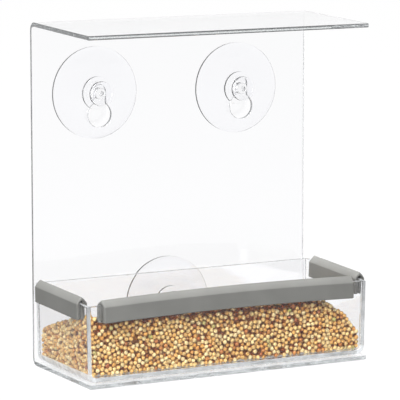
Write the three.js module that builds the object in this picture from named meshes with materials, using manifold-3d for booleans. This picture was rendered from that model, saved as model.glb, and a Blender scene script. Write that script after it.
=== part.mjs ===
// Window bird feeder: a clear acrylic shell bent to a C, held to the pane by three suction cups,
// with a loose seed tray on its base and soft perch grips pushed over the tray's walls.
//
// Millimetres. +Z is up, +Y points to the window pane and -Y to the viewer. The origin is the
// centre of the underside of the shell's base.

import * as THREE from "three";
import { mergeVertices } from "three/addons/utils/BufferGeometryUtils.js";
import Module from "manifold-3d";

const wasm = await Module();
wasm.setup();

// Shell: one sheet, bent twice. Its height is at the panel, and the roof falls toward the front.
const shellWidth = 150;
const shellDepth = 65;
const shellHeight = 167;
const shellSheet = 2;
const shellInsideBend = 2;
const shellFrontCornerRadius = 1.2;
const roofFallDegrees = 1.6;

// Keyholes in the panel: a round hole to pass the cup's head, and a slot above it for the neck
const keyholeRound = 12.4;
const keyholeSlotWidth = 5.8;
const keyholeTravel = 11.5;
const keyholeThroatRadius = 1.5;
const upperKeyholeSpacing = 78;
const upperKeyholeBelowTop = 35;
const lowerKeyholeHeight = 25.7;

// Drain holes in the base
const drainDiameter = 12;
const drainSpacing = 78;
const drainBehindCentre = 14;

// Tray: a U of floor and side walls, closed by a front and a back plate
const traySheet = 2;
const trayInsideBend = 2;
const trayFrontHeight = 36.1;
const trayBackHeight = 38.9;
const trayWallLeanDegrees = 1.2;
const trayFrontSetback = 4.2;
const trayRightOfCentre = 0.9;
const trayPlateJointGap = 0.1;
const trayDrainDiameter = 3;
const trayDrainInset = 14;
const trayRestGap = 0.3;
const trayBackGap = 0.3;

// Perch grips: a domed channel with a slit that ends in a round relief
const gripWidth = 5.5;
const gripHeight = 10.8;
const gripCrownThickness = 1;
const gripReliefDiameter = 3.4;
const gripEndRadius = 0.8;
const gripWallGap = 0.3;
const frontGripStandoff = 2.7;
const frontGripBow = 1.2;
const frontGripTiltDegrees = 0.2;
const frontGripEndSetback = 7;
const leftGripStandoff = 2.6;
const leftGripTiltDegrees = 1;
const leftGripFrontSetback = 6.8;
const rightGripStandoff = 3.1;
const rightGripTiltDegrees = 2;
const rightGripFrontSetback = 4.2;
const leftGripToBackPlate = 0.3;
const rightGripToBackPlate = 5;

// Suction cups: a mushroom head before the panel, a neck in the slot, a boss and a dish behind
const cupDiameter = 45;
const cupDepth = 5.6;
const cupLip = 1;
const cupLandWidth = 1.2;
const cupHollowDepth = 3;
const cupBossDiameter = 16.5;
const cupBossHeight = 1.3;
const cupHeadThickness = 1.6;
const cupHeadEdgeRadius = 0.6;
const cupHeadPassGap = 0.2;
const cupNeckGap = 0.3;
const cupPanelGap = 0.3;
const cupPinHoleDiameter = 2.6;
const cupPinHoleDepth = 4.4;
const leftCupHang = 1.2;
const rightCupHang = 2.6;
const lowerCupHang = 1.2;

// Seed heap: highest at the front, falling to the right end and to the back, and lumpy all over,
// where the grains lie in clumps with hollows between them
const seedClumpSpacing = 9;
const seedClumpRelief = 1.8;
const seedClumpUnevenShare = 0.5;
const seedClumpInset = 0.1;
const seedWallGap = 0.3;
const seedGripGap = 0.3;
const seedRightFallShare = 0.69;
const seedRightFallStartShare = 0.8;
const seedRightFallPowerShare = 1.6;
const seedBackFallShare = 0.5;
const seedBackFallPowerShare = 1.7;

// Fineness of the curves, as counts
const bendSteps = 4;
const roundSteps = 12;
const domeSteps = 7;
const cupSides = 44;
const bowSpans = 8;

// How far a cutting tool reaches past what it cuts
const overrun = 2;

// Two outline points nearer than this are one
const pointTolerance = 1e-4;

// Places and sizes that follow from the ones above
const panelBack = shellDepth / 2;
const panelFront = panelBack - shellSheet;
const cupHeadDiameter = keyholeRound - 2 * cupHeadPassGap;
const cupNeckDiameter = keyholeSlotWidth - 2 * cupNeckGap;
const cupHeadFront = panelFront - cupPanelGap - cupHeadThickness;
const trayWidth = shellWidth;
const trayFront = trayFrontSetback - shellDepth / 2;
const trayBack = cupHeadFront - trayBackGap;
const trayDepth = trayBack - trayFront;
const trayMiddle = (trayFront + trayBack) / 2;
const trayUnderside = shellSheet + trayRestGap;
const trayFloorTop = trayUnderside + traySheet;
const trayLean = THREE.MathUtils.degToRad(trayWallLeanDegrees);
const trayRimSlope = Math.atan((trayBackHeight - trayFrontHeight) / trayDepth);
const frontGripFoot = trayUnderside + trayFrontHeight + frontGripStandoff - gripHeight;
const frontGripTilt = THREE.MathUtils.degToRad(frontGripTiltDegrees);
const frontGripHalf = trayWidth / 2 - frontGripEndSetback;
const seedCrown = frontGripFoot - frontGripHalf * Math.tan(frontGripTilt) - seedGripGap;

// Solids

function solidFrom(geometry) {
  const bare = geometry.clone();
  bare.deleteAttribute("normal");
  bare.deleteAttribute("uv");
  const merged = mergeVertices(bare, pointTolerance);
  const mesh = new wasm.Mesh({
    numProp: 3,
    vertProperties: new Float32Array(merged.attributes.position.array),
    triVerts: new Uint32Array(merged.index.array),
  });
  return new wasm.Manifold(mesh);
}

function geometryFrom(solid) {
  const mesh = solid.getMesh();
  const geometry = new THREE.BufferGeometry();
  geometry.setAttribute("position", new THREE.BufferAttribute(new Float32Array(mesh.vertProperties), 3));
  geometry.setIndex(new THREE.BufferAttribute(new Uint32Array(mesh.triVerts), 1));
  geometry.computeVertexNormals();
  return geometry;
}

function cutAway(solid, tools) {
  return tools.reduce((rest, tool) => rest.subtract(solidFrom(tool)), solid);
}

// Outlines

function withoutDoubledPoints(shape, steps) {
  const kept = [];
  for (const point of shape.getPoints(steps)) {
    if (kept.length === 0 || kept.at(-1).distanceTo(point) > pointTolerance) {
      kept.push(point);
    }
  }
  if (kept[0].distanceTo(kept.at(-1)) < pointTolerance) {
    kept.pop();
  }
  return kept;
}

function extrudeOutline(shape, length, steps, spans = 1) {
  const outline = new THREE.Shape(withoutDoubledPoints(shape, steps));
  const geometry = new THREE.ExtrudeGeometry(outline, { depth: length, steps: spans, bevelEnabled: false });
  return geometry.translate(0, 0, -length / 2);
}

// Stands an outline drawn in X and Z upright, so that it is extruded along Y
function standUpright(geometry) {
  return geometry.rotateX(Math.PI / 2);
}

// Turns an outline drawn in Y and Z so that it is extruded along X
function runAlongX(geometry) {
  return geometry.rotateZ(Math.PI / 2).rotateY(Math.PI / 2);
}

// The line that a bent sheet seen on edge makes at a depth under its outside face. The corners are
// where the outside faces would meet, and the inside of the bends is to the left.
function bentLine(corners, outsideRadius, depth) {
  const headings = corners.slice(1).map((corner, i) => corner.clone().sub(corners[i]).normalize());
  const inward = headings.map((heading) => new THREE.Vector2(-heading.y, heading.x));
  const radius = outsideRadius - depth;
  const start = corners[0].clone().addScaledVector(inward[0], depth);
  const end = corners.at(-1).clone().addScaledVector(inward.at(-1), depth);
  const path = new THREE.Path();
  path.moveTo(start.x, start.y);
  corners.slice(1, -1).forEach((corner, i) => {
    const before = inward[i];
    const after = inward[i + 1];
    const towardCentre = before.clone().add(after);
    const centre = corner.clone().addScaledVector(towardCentre, outsideRadius / (1 + before.dot(after)));
    const bendStart = centre.clone().addScaledVector(before, -radius);
    path.lineTo(bendStart.x, bendStart.y);
    path.absarc(centre.x, centre.y, radius, before.angle() + Math.PI, after.angle() + Math.PI, false);
  });
  path.lineTo(end.x, end.y);
  return path.getPoints(bendSteps);
}

function bentSheetOutline(corners, thickness, insideRadius) {
  const outside = bentLine(corners, insideRadius + thickness, 0);
  const inside = bentLine(corners, insideRadius + thickness, thickness);
  return new THREE.Shape([...outside, ...inside.reverse()]);
}

// A round hole below, a slot above and a rounded throat where they meet. The origin is the centre
// of the slot's round top.
function keyholeOutline() {
  const slot = keyholeSlotWidth / 2;
  const round = keyholeRound / 2;
  const throat = keyholeThroatRadius;
  const throatRise = Math.sqrt((round + throat) ** 2 - (slot + throat) ** 2);
  const throatTurn = Math.atan2(throatRise, slot + throat);
  const roundCentre = -keyholeTravel;
  const throatCentre = roundCentre + throatRise;
  const shape = new THREE.Shape();
  shape.absarc(0, 0, slot, 0, Math.PI, false);
  shape.absarc(-slot - throat, throatCentre, throat, 0, -throatTurn, true);
  shape.absarc(0, roundCentre, round, Math.PI - throatTurn, 2 * Math.PI + throatTurn, false);
  shape.absarc(slot + throat, throatCentre, throat, Math.PI + throatTurn, Math.PI, true);
  shape.closePath();
  return shape;
}

function discOutline(diameter) {
  const shape = new THREE.Shape();
  shape.absarc(0, 0, diameter / 2, 0, 2 * Math.PI, false);
  return shape;
}

// Materials

function clearAcrylic() {
  return new THREE.MeshStandardMaterial({
    color: 0xf2f6f8,
    roughness: 0.05,
    metalness: 0,
    transparent: true,
    opacity: 0.35,
  });
}

function clearSoftPvc() {
  return new THREE.MeshStandardMaterial({
    color: 0xe9eef1,
    roughness: 0.2,
    metalness: 0,
    transparent: true,
    opacity: 0.5,
  });
}

function greySiliconeRubber() {
  return new THREE.MeshStandardMaterial({ color: 0x989a96, roughness: 0.65, metalness: 0 });
}

function milletSeed() {
  return new THREE.MeshStandardMaterial({ color: 0xd9b27c, roughness: 0.8, metalness: 0 });
}

function piece(name, geometry, material) {
  const mesh = new THREE.Mesh(geometry, material);
  mesh.name = name;
  return mesh;
}

// Shell

// Where each keyhole's slot ends, the cup that hangs in it and how far below the slot's end it hangs
const keyholes = [
  {
    cup: "upper_left_suction_cup",
    x: -upperKeyholeSpacing / 2,
    z: shellHeight - upperKeyholeBelowTop,
    hang: leftCupHang,
  },
  {
    cup: "upper_right_suction_cup",
    x: upperKeyholeSpacing / 2,
    z: shellHeight - upperKeyholeBelowTop,
    hang: rightCupHang,
  },
  {
    cup: "lower_suction_cup",
    x: 0,
    z: lowerKeyholeHeight,
    hang: lowerCupHang,
  },
];

function shellSideOutline() {
  const roofFall = shellDepth * Math.tan(THREE.MathUtils.degToRad(roofFallDegrees));
  const corners = [
    new THREE.Vector2(-shellDepth / 2, 0),
    new THREE.Vector2(shellDepth / 2, 0),
    new THREE.Vector2(shellDepth / 2, shellHeight),
    new THREE.Vector2(-shellDepth / 2, shellHeight - roofFall),
  ];
  return bentSheetOutline(corners, shellSheet, shellInsideBend);
}

// The plan view that the whole shell keeps inside, with the front corners of roof and base rounded
function shellPlanOutline() {
  const half = shellWidth / 2;
  const front = -shellDepth / 2;
  const back = shellDepth / 2 + overrun;
  const round = shellFrontCornerRadius;
  const shape = new THREE.Shape();
  shape.moveTo(half, back);
  shape.lineTo(-half, back);
  shape.absarc(-half + round, front + round, round, Math.PI, 1.5 * Math.PI, false);
  shape.absarc(half - round, front + round, round, 1.5 * Math.PI, 2 * Math.PI, false);
  shape.closePath();
  return shape;
}

function makeShell() {
  const sheet = runAlongX(extrudeOutline(shellSideOutline(), shellWidth, bendSteps));
  const plan = extrudeOutline(shellPlanOutline(), shellHeight + 2 * overrun, bendSteps);
  plan.translate(0, 0, shellHeight / 2);
  const keyholeTools = keyholes.map(({ x, z }) => {
    const tool = standUpright(extrudeOutline(keyholeOutline(), shellSheet + overrun, roundSteps));
    return tool.translate(x, (panelFront + panelBack) / 2, z);
  });
  const drainTools = [-1, 1].map((side) => {
    const tool = extrudeOutline(discOutline(drainDiameter), shellSheet + overrun, roundSteps);
    return tool.translate((side * drainSpacing) / 2, drainBehindCentre, shellSheet / 2);
  });
  const body = solidFrom(sheet).intersect(solidFrom(plan));
  return geometryFrom(cutAway(body, [...keyholeTools, ...drainTools]));
}

// Tray

// The U's outside faces, from the top of the left wall down and round to the top of the right one
function trayCorners(height) {
  const half = trayWidth / 2;
  const spread = height * Math.tan(trayLean);
  return [
    new THREE.Vector2(-half - spread, trayUnderside + height),
    new THREE.Vector2(-half, trayUnderside),
    new THREE.Vector2(half, trayUnderside),
    new THREE.Vector2(half + spread, trayUnderside + height),
  ];
}

// What fills the U to a height and keeps a gap to its inside faces
function trayInsideOutline(gap, height) {
  return new THREE.Shape(bentLine(trayCorners(height), trayInsideBend + traySheet, traySheet + gap));
}

function rimHeightAt(y) {
  const middleHeight = trayUnderside + (trayFrontHeight + trayBackHeight) / 2;
  return middleHeight + (y - trayMiddle) * Math.tan(trayRimSlope);
}

// A slab that lies along the tray's sloping rim and takes away what stands above it
function trayRimTool() {
  const slab = new THREE.BoxGeometry(2 * trayWidth, 2 * trayDepth, trayBackHeight);
  slab.translate(0, 0, trayBackHeight / 2);
  slab.rotateX(trayRimSlope);
  return slab.translate(0, trayMiddle, rimHeightAt(trayMiddle));
}

function trayDrainTools() {
  const tools = [];
  for (const across of [-1, 1]) {
    for (const along of [-1, 1]) {
      const tool = extrudeOutline(discOutline(trayDrainDiameter), traySheet + overrun, bendSteps);
      const x = across * (trayWidth / 2 - trayDrainInset);
      const y = trayMiddle + along * (trayDepth / 2 - trayDrainInset);
      tools.push(tool.translate(x, y, trayUnderside + traySheet / 2));
    }
  }
  return tools;
}

function makeTrayBody() {
  const outline = bentSheetOutline(trayCorners(trayBackHeight + overrun), traySheet, trayInsideBend);
  const sheet = standUpright(extrudeOutline(outline, trayDepth, bendSteps));
  sheet.translate(0, trayMiddle, 0);
  return geometryFrom(cutAway(solidFrom(sheet), [trayRimTool(), ...trayDrainTools()]));
}

// An end plate stands on the floor between the side walls
function makeTrayPlate(height, middle) {
  const outline = trayInsideOutline(trayPlateJointGap, height);
  const plate = standUpright(extrudeOutline(outline, traySheet, bendSteps));
  return plate.translate(0, middle, 0);
}

// Perch grips

// The section across the wall, with the origin at the middle of the wall's top edge
function gripSectionOutline(standoff) {
  const half = gripWidth / 2;
  const slit = traySheet / 2 + gripWallGap;
  const relief = gripReliefDiameter / 2;
  const foot = standoff - gripHeight;
  const domeCentre = standoff - half;
  const reliefCentre = standoff - gripCrownThickness - relief;
  const reliefTurn = Math.acos(slit / relief);
  const shape = new THREE.Shape();
  shape.moveTo(slit, foot);
  shape.lineTo(half, foot);
  shape.absarc(0, domeCentre, half, 0, Math.PI, false);
  shape.lineTo(-half, foot);
  shape.lineTo(-slit, foot);
  shape.absarc(0, reliefCentre, relief, Math.PI + reliefTurn, -reliefTurn, true);
  shape.closePath();
  return shape;
}

// The grip seen from beside the wall: rounded corners at its ends, and room for all of it between
function gripSideOutline(length, standoff) {
  const end = length / 2 - gripEndRadius;
  const foot = standoff - gripHeight;
  const low = foot + gripEndRadius;
  const high = standoff - gripEndRadius;
  const shape = new THREE.Shape();
  shape.moveTo(end, foot - overrun);
  shape.lineTo(end, foot);
  shape.absarc(end, low, gripEndRadius, -Math.PI / 2, 0, false);
  shape.absarc(end, high, gripEndRadius, 0, Math.PI / 2, false);
  shape.lineTo(end, standoff + overrun);
  shape.lineTo(-end, standoff + overrun);
  shape.lineTo(-end, standoff);
  shape.absarc(-end, high, gripEndRadius, Math.PI / 2, Math.PI, false);
  shape.absarc(-end, low, gripEndRadius, Math.PI, 1.5 * Math.PI, false);
  shape.lineTo(-end, foot - overrun);
  shape.closePath();
  return shape;
}

// Lifts a shape that runs along Y, most in the middle and not at all at the ends
function bowUp(geometry, length, bow) {
  const position = geometry.attributes.position;
  for (let i = 0; i < position.count; i++) {
    const fromMiddle = position.getY(i) / (length / 2);
    position.setZ(i, position.getZ(i) + bow * (1 - fromMiddle * fromMiddle));
  }
  return geometry;
}

// A grip that runs along Y over a wall's top edge
function makeGrip(length, standoff, bow) {
  const bar = standUpright(extrudeOutline(gripSectionOutline(standoff), length, domeSteps, bowSpans));
  const ends = runAlongX(extrudeOutline(gripSideOutline(length, standoff), 2 * gripWidth, bendSteps));
  return geometryFrom(solidFrom(bowUp(bar, length, bow)).intersect(solidFrom(bowUp(ends, length, bow))));
}

// A side grip leans with its wall, and is pushed down less at one end than at the other
function sideGrip(name, side, setback, toBackPlate, standoff, tiltDegrees) {
  const front = trayFront + setback;
  const back = trayBack - traySheet - toBackPlate;
  const y = (front + back) / 2;
  const z = rimHeightAt(y);
  const wallOutside = trayWidth / 2 + (z - trayUnderside) * Math.tan(trayLean);
  const wallMiddle = wallOutside - traySheet / 2 / Math.cos(trayLean);
  const grip = piece(name, makeGrip(back - front, standoff, 0), greySiliconeRubber());
  grip.rotation.x = THREE.MathUtils.degToRad(tiltDegrees);
  const lean = new THREE.Group();
  lean.position.set(side * wallMiddle, y, z);
  lean.rotation.y = side * trayLean;
  lean.add(grip);
  return lean;
}

function frontGrip(name) {
  const channel = makeGrip(2 * frontGripHalf, frontGripStandoff, frontGripBow);
  const grip = piece(name, channel, greySiliconeRubber());
  grip.rotation.z = Math.PI / 2;
  const tilt = new THREE.Group();
  tilt.position.set(0, trayFront + traySheet / 2, trayUnderside + trayFrontHeight);
  tilt.rotation.y = -frontGripTilt;
  tilt.add(grip);
  return tilt;
}

// Suction cups

// The profile runs from the pin hole in the head over the neck, boss and dish to the hollow that
// holds the vacuum. Its X is the radius, and its Y the distance behind the panel.
function makeSuctionCup() {
  const pin = cupPinHoleDiameter / 2;
  const head = cupHeadDiameter / 2;
  const neck = cupNeckDiameter / 2;
  const boss = cupBossDiameter / 2;
  const rim = cupDiameter / 2;
  const land = rim - cupLandWidth;
  const headBack = -shellSheet - cupPanelGap;
  const headFront = headBack - cupHeadThickness;
  const headEdge = headFront + cupHeadEdgeRadius;
  const bossFront = cupPanelGap;
  const bossBack = bossFront + cupBossHeight;
  const hollowTop = cupDepth - cupHollowDepth;
  const path = new THREE.Path();
  path.moveTo(0, headFront + cupPinHoleDepth);
  path.lineTo(pin, headFront + cupPinHoleDepth);
  path.lineTo(pin, headFront);
  path.lineTo(head - cupHeadEdgeRadius, headFront);
  path.absarc(head - cupHeadEdgeRadius, headEdge, cupHeadEdgeRadius, -Math.PI / 2, 0, false);
  path.lineTo(head, headBack);
  path.lineTo(neck, headBack);
  path.lineTo(neck, bossFront);
  path.lineTo(boss, bossFront);
  path.lineTo(boss, bossBack);
  path.quadraticCurveTo((boss + rim) / 2, bossBack, rim, cupDepth - cupLip);
  path.lineTo(rim, cupDepth);
  path.lineTo(land, cupDepth);
  path.quadraticCurveTo(land / 2, hollowTop, 0, hollowTop);
  return geometryFrom(solidFrom(new THREE.LatheGeometry(withoutDoubledPoints(path, bendSteps), cupSides)));
}

// Seed

function seedHeightAt(x, y) {
  const half = trayWidth / 2;
  const fallStart = half * seedRightFallStartShare;
  const right = Math.max(0, (x - fallStart) / (half - fallStart));
  const back = Math.max(0, (y - trayFront) / trayDepth);
  const rightShare = 1 - seedRightFallShare * right ** seedRightFallPowerShare;
  const backShare = 1 - seedBackFallShare * back ** seedBackFallPowerShare;
  return trayFloorTop + (seedCrown - trayFloorTop) * rightShare * backShare;
}

// How far a point of the heap's grid is sunk, by its three counts from the grid's corner: little
// where all are even, on a clump, half way where one is odd, and most where two are, between clumps
function seedSinkAt(counts) {
  const hollowShare = counts.filter((count) => count % 2 === 1).length / 2;
  const uneven = seedClumpUnevenShare * Math.abs(Math.sin(counts[0] * counts[1] + counts[2]));
  return seedClumpRelief * THREE.MathUtils.lerp(hollowShare, 1, uneven);
}

// A box with a grid of unit cells over its faces, two to a clump. Its points are moved to the tray's
// inside and to the heap's top, and sunk.
function makeSeedFill() {
  const columns = 2 * Math.round(trayWidth / seedClumpSpacing);
  const rows = 2 * Math.round(trayDepth / seedClumpSpacing);
  const levels = 2 * Math.round(seedCrown / seedClumpSpacing);
  const halfWidth = trayWidth / 2 - traySheet - seedWallGap - seedClumpInset;
  const halfDepth = trayDepth / 2 - traySheet - seedWallGap - seedClumpInset;
  const bottom = trayFloorTop - overrun;
  const heap = new THREE.BoxGeometry(columns, rows, levels, columns, rows, levels);
  const position = heap.attributes.position;
  for (let i = 0; i < position.count; i++) {
    const column = position.getX(i) + columns / 2;
    const row = position.getY(i) + rows / 2;
    const level = position.getZ(i) + levels / 2;
    const acrossShare = position.getX(i) / (columns / 2);
    const alongShare = position.getY(i) / (rows / 2);
    const upShare = level / levels;
    const sink = level === 0 ? 0 : seedSinkAt([column, row, level]);
    const sinkAcross = Math.abs(acrossShare) === 1 ? sink : 0;
    const sinkAlong = Math.abs(alongShare) === 1 ? sink : 0;
    const sinkDown = upShare === 1 ? sink : 0;
    const y = trayMiddle + alongShare * (halfDepth - sinkAlong);
    const top = seedHeightAt(acrossShare * halfWidth, y) - sinkDown;
    const z = bottom + (top - bottom) * upShare;
    const leanOut = (z - trayUnderside) * Math.tan(trayLean);
    position.setXYZ(i, acrossShare * (halfWidth + leanOut - sinkAcross), y, z);
  }
  const inside = trayInsideOutline(seedWallGap, trayBackHeight);
  const length = trayDepth - 2 * (traySheet + seedWallGap);
  const room = standUpright(extrudeOutline(inside, length, bendSteps));
  room.translate(0, trayMiddle, 0);
  return geometryFrom(solidFrom(heap).intersect(solidFrom(room)));
}

// Assembly

const windowBirdFeeder = new THREE.Group();
windowBirdFeeder.add(piece("shell", makeShell(), clearAcrylic()));

for (const { cup, x, z, hang } of keyholes) {
  const mesh = piece(cup, makeSuctionCup(), clearSoftPvc());
  mesh.position.set(x, panelBack, z - hang);
  windowBirdFeeder.add(mesh);
}

const tray = new THREE.Group();
tray.position.x = trayRightOfCentre;
tray.add(piece("tray_body", makeTrayBody(), clearAcrylic()));
tray.add(piece("tray_front", makeTrayPlate(trayFrontHeight, trayFront + traySheet / 2), clearAcrylic()));
tray.add(piece("tray_back", makeTrayPlate(trayBackHeight, trayBack - traySheet / 2), clearAcrylic()));
tray.add(piece("seed_fill", makeSeedFill(), milletSeed()));
const leftGrip = [leftGripFrontSetback, leftGripToBackPlate, leftGripStandoff, leftGripTiltDegrees];
const rightGrip = [rightGripFrontSetback, rightGripToBackPlate, rightGripStandoff, rightGripTiltDegrees];
tray.add(sideGrip("left_perch_grip", -1, ...leftGrip));
tray.add(sideGrip("right_perch_grip", 1, ...rightGrip));
tray.add(frontGrip("front_perch_grip"));
windowBirdFeeder.add(tray);

export default windowBirdFeeder;
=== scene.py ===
"""Window bird feeder, dressed for a studio picture.

Clear bent acrylic, clear suction cups, grey perch grips and a heap of millet, each made as its own
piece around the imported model, in metres.
"""

import math
from functools import partial

import bmesh
import bpy
import numpy as np
from mathutils import Matrix, Vector
from mathutils.geometry import delaunay_2d_cdt
from mathutils.kdtree import KDTree


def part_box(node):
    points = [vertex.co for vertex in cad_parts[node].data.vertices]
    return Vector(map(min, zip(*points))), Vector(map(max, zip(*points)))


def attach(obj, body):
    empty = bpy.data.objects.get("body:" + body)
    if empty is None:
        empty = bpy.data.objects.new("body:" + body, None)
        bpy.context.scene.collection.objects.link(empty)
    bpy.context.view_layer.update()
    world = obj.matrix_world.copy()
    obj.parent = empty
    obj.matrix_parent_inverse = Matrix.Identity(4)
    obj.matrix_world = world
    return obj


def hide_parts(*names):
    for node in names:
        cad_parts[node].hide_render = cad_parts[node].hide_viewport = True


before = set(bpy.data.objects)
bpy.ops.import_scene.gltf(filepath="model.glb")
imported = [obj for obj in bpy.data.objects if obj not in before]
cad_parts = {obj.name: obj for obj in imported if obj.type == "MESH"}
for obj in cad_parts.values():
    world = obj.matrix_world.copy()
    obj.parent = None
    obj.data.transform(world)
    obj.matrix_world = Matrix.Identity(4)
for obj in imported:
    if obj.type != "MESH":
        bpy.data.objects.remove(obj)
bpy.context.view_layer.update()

bl_info = {
    "name": "Window Bird Feeder",
    "version": (1, 0, 0),
    "blender": (4, 5, 0),
    "location": "View3D > Sidebar > Bird Feeder",
    "description": "Builds a clear window bird feeder with suction cups, perch grips and millet",
    "category": "Add Mesh",
}

MM = 0.001
WHITE = (1.0, 1.0, 1.0, 1.0)

# Colours and settings


def linear(hex_colour):
    """(r, g, b, 1) in linear light for an sRGB colour written as #rrggbb."""
    channels = [int(hex_colour[i : i + 2], 16) / 255 for i in (1, 3, 5)]
    return tuple(c / 12.92 if c <= 0.04045 else ((c + 0.055) / 1.055) ** 2.4 for c in channels) + (1.0,)


def number(name, description, default, **kind):
    """A number that a user would change."""
    return bpy.props.FloatProperty(name=name, description=description, default=default, **kind)


def size(name, description, default):
    """A length in metres."""
    return number(name, description, default, unit="LENGTH", subtype="DISTANCE", precision=5)


def turn(name, description, degrees):
    """An angle, given in degrees."""
    return number(name, description, math.radians(degrees), unit="ROTATION", subtype="ANGLE")


def share(name, description, default):
    """A part of a whole, from 0 to 1."""
    return number(name, description, default, subtype="FACTOR")


def colour(name, description, hex_colour):
    """A surface colour."""
    return bpy.props.FloatVectorProperty(
        name=name, description=description, default=linear(hex_colour), size=4, subtype="COLOR", min=0, max=1
    )


class FeederSheetSettings(bpy.types.PropertyGroup):
    """The bent shell and the tray, both cut from clear sheet"""

    thickness: size("Sheet", "Thickness of the acrylic sheet", 2 * MM)
    inside_bend: size("Inside bend", "Inside radius of every bend", 2 * MM)
    chamfer: size("Broken edge", "Width of the bevel scraped along every cut edge", 0.22 * MM)
    shell_width: size("Shell width", "Width of the shell", 150 * MM)
    shell_depth: size("Shell depth", "Depth of the shell, from front edge to panel", 65 * MM)
    shell_height: size("Shell height", "Height of the shell at the panel", 167 * MM)
    shell_corner: size("Front corner", "Radius of the shell's front corners", 1.2 * MM)
    roof_fall: turn("Roof fall", "How far the roof falls toward the front", 1.6)
    keyhole_round: size("Keyhole", "Diameter of a keyhole's round hole", 12.4 * MM)
    keyhole_slot: size("Keyhole slot", "Width of a keyhole's slot", 5.8 * MM)
    keyhole_travel: size("Keyhole travel", "From the round hole's centre to the slot's end", 11.5 * MM)
    keyhole_throat: size("Keyhole throat", "Radius where slot and round hole meet", 1.5 * MM)
    keyhole_spacing: size("Keyhole spacing", "Between the two upper keyholes", 78 * MM)
    upper_keyhole_drop: size("Upper keyholes", "From the shell's top down to the slots' ends", 35 * MM)
    lower_keyhole_height: size("Lower keyhole", "Height of the lower slot's end", 25.7 * MM)
    drain_diameter: size("Drain hole", "Diameter of the holes in the base", 12 * MM)
    drain_spacing: size("Drain spacing", "Between the two drain holes", 78 * MM)
    drain_behind_centre: size("Drain place", "How far the drain holes lie behind the centre", 14 * MM)
    tray_front_height: size("Tray front", "Height of the tray at the front", 36.1 * MM)
    tray_back_height: size("Tray back", "Height of the tray at the back", 38.9 * MM)
    tray_lean: turn("Tray lean", "How far the side walls lean out", 1.2)
    tray_joint: size("Tray joint", "Gap between the end plates and the bent body", 0.1 * MM)
    tray_drain_diameter: size("Tray drain", "Diameter of the holes in the tray's floor", 3 * MM)
    tray_drain_inset: size("Tray drain inset", "From the tray's edges to its drain holes", 14 * MM)
    face_colour: colour("Acrylic", "What a single clear sheet does to white", "#FEFEFF")
    depth_colour: colour("Acrylic depth", "What a long way inside the sheet does to white", "#8FA3A0")
    edge_colour: colour("Cut edge", "Colour of the sawn and scraped edges", "#F7F9FB")
    edge_frost: share("Edge frost", "How much of the light the shell's cut edges scatter", 0.22)
    tray_sawn: number("Tray edges", "How matt the tray's sawn edges are beside the shell's", 2.6)
    back_sawn: number("Back plate edges", "The same for the tray's back plate", 0.4)
    bend_haze: number("Bend haze", "The same for the tray's heated bends", 3.8)
    # Painted light: these three settings shape a glow given off by the sheet where light ran far inside it.
    trapped_low: share("Trapped light low", "How bright light is that ran far inside the sheet, at the table", 0.9)
    trapped_high: share("Trapped light high", "The same, well above the table", 0.16)
    trapped_reach: size("Trapped reach", "How high the table brightens the sheet's edges", 45 * MM)


class FeederCupSettings(bpy.types.PropertyGroup):
    """The suction cups"""

    diameter: size("Cup", "Diameter of the cup", 45 * MM)
    depth: size("Cup depth", "From the panel's back to the rim", 5.6 * MM)
    lip: size("Lip", "Thickness of the rim", 1.3 * MM)
    lip_round: size("Lip round", "Radius of the rim's outer edge", 0.2 * MM)
    land: size("Land", "Width of the flat ring that meets the pane", 1.2 * MM)
    hollow: size("Hollow", "Depth of the hollow", 3 * MM)
    boss: size("Boss", "Diameter of the boss behind the panel", 16.5 * MM)
    boss_height: size("Boss height", "Height of the boss", 1.3 * MM)
    head: size("Head", "Diameter of the mushroom head", 12 * MM)
    head_thickness: size("Head thickness", "Thickness of the head", 1.6 * MM)
    neck: size("Neck", "Diameter of the neck in the slot", 5.2 * MM)
    panel_gap: size("Panel gap", "Between the panel and what grips it", 0.3 * MM)
    pin_hole: size("Pin hole", "Diameter of the hole in the head", 2.6 * MM)
    pin_hole_depth: size("Pin hole depth", "Depth of the hole in the head", 4.4 * MM)
    tint: colour("PVC", "Colour of the clear soft PVC", "#FEFEFF")
    depth_colour: colour("PVC depth", "What a long way inside the PVC does to white", "#9AA3AE")


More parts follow.
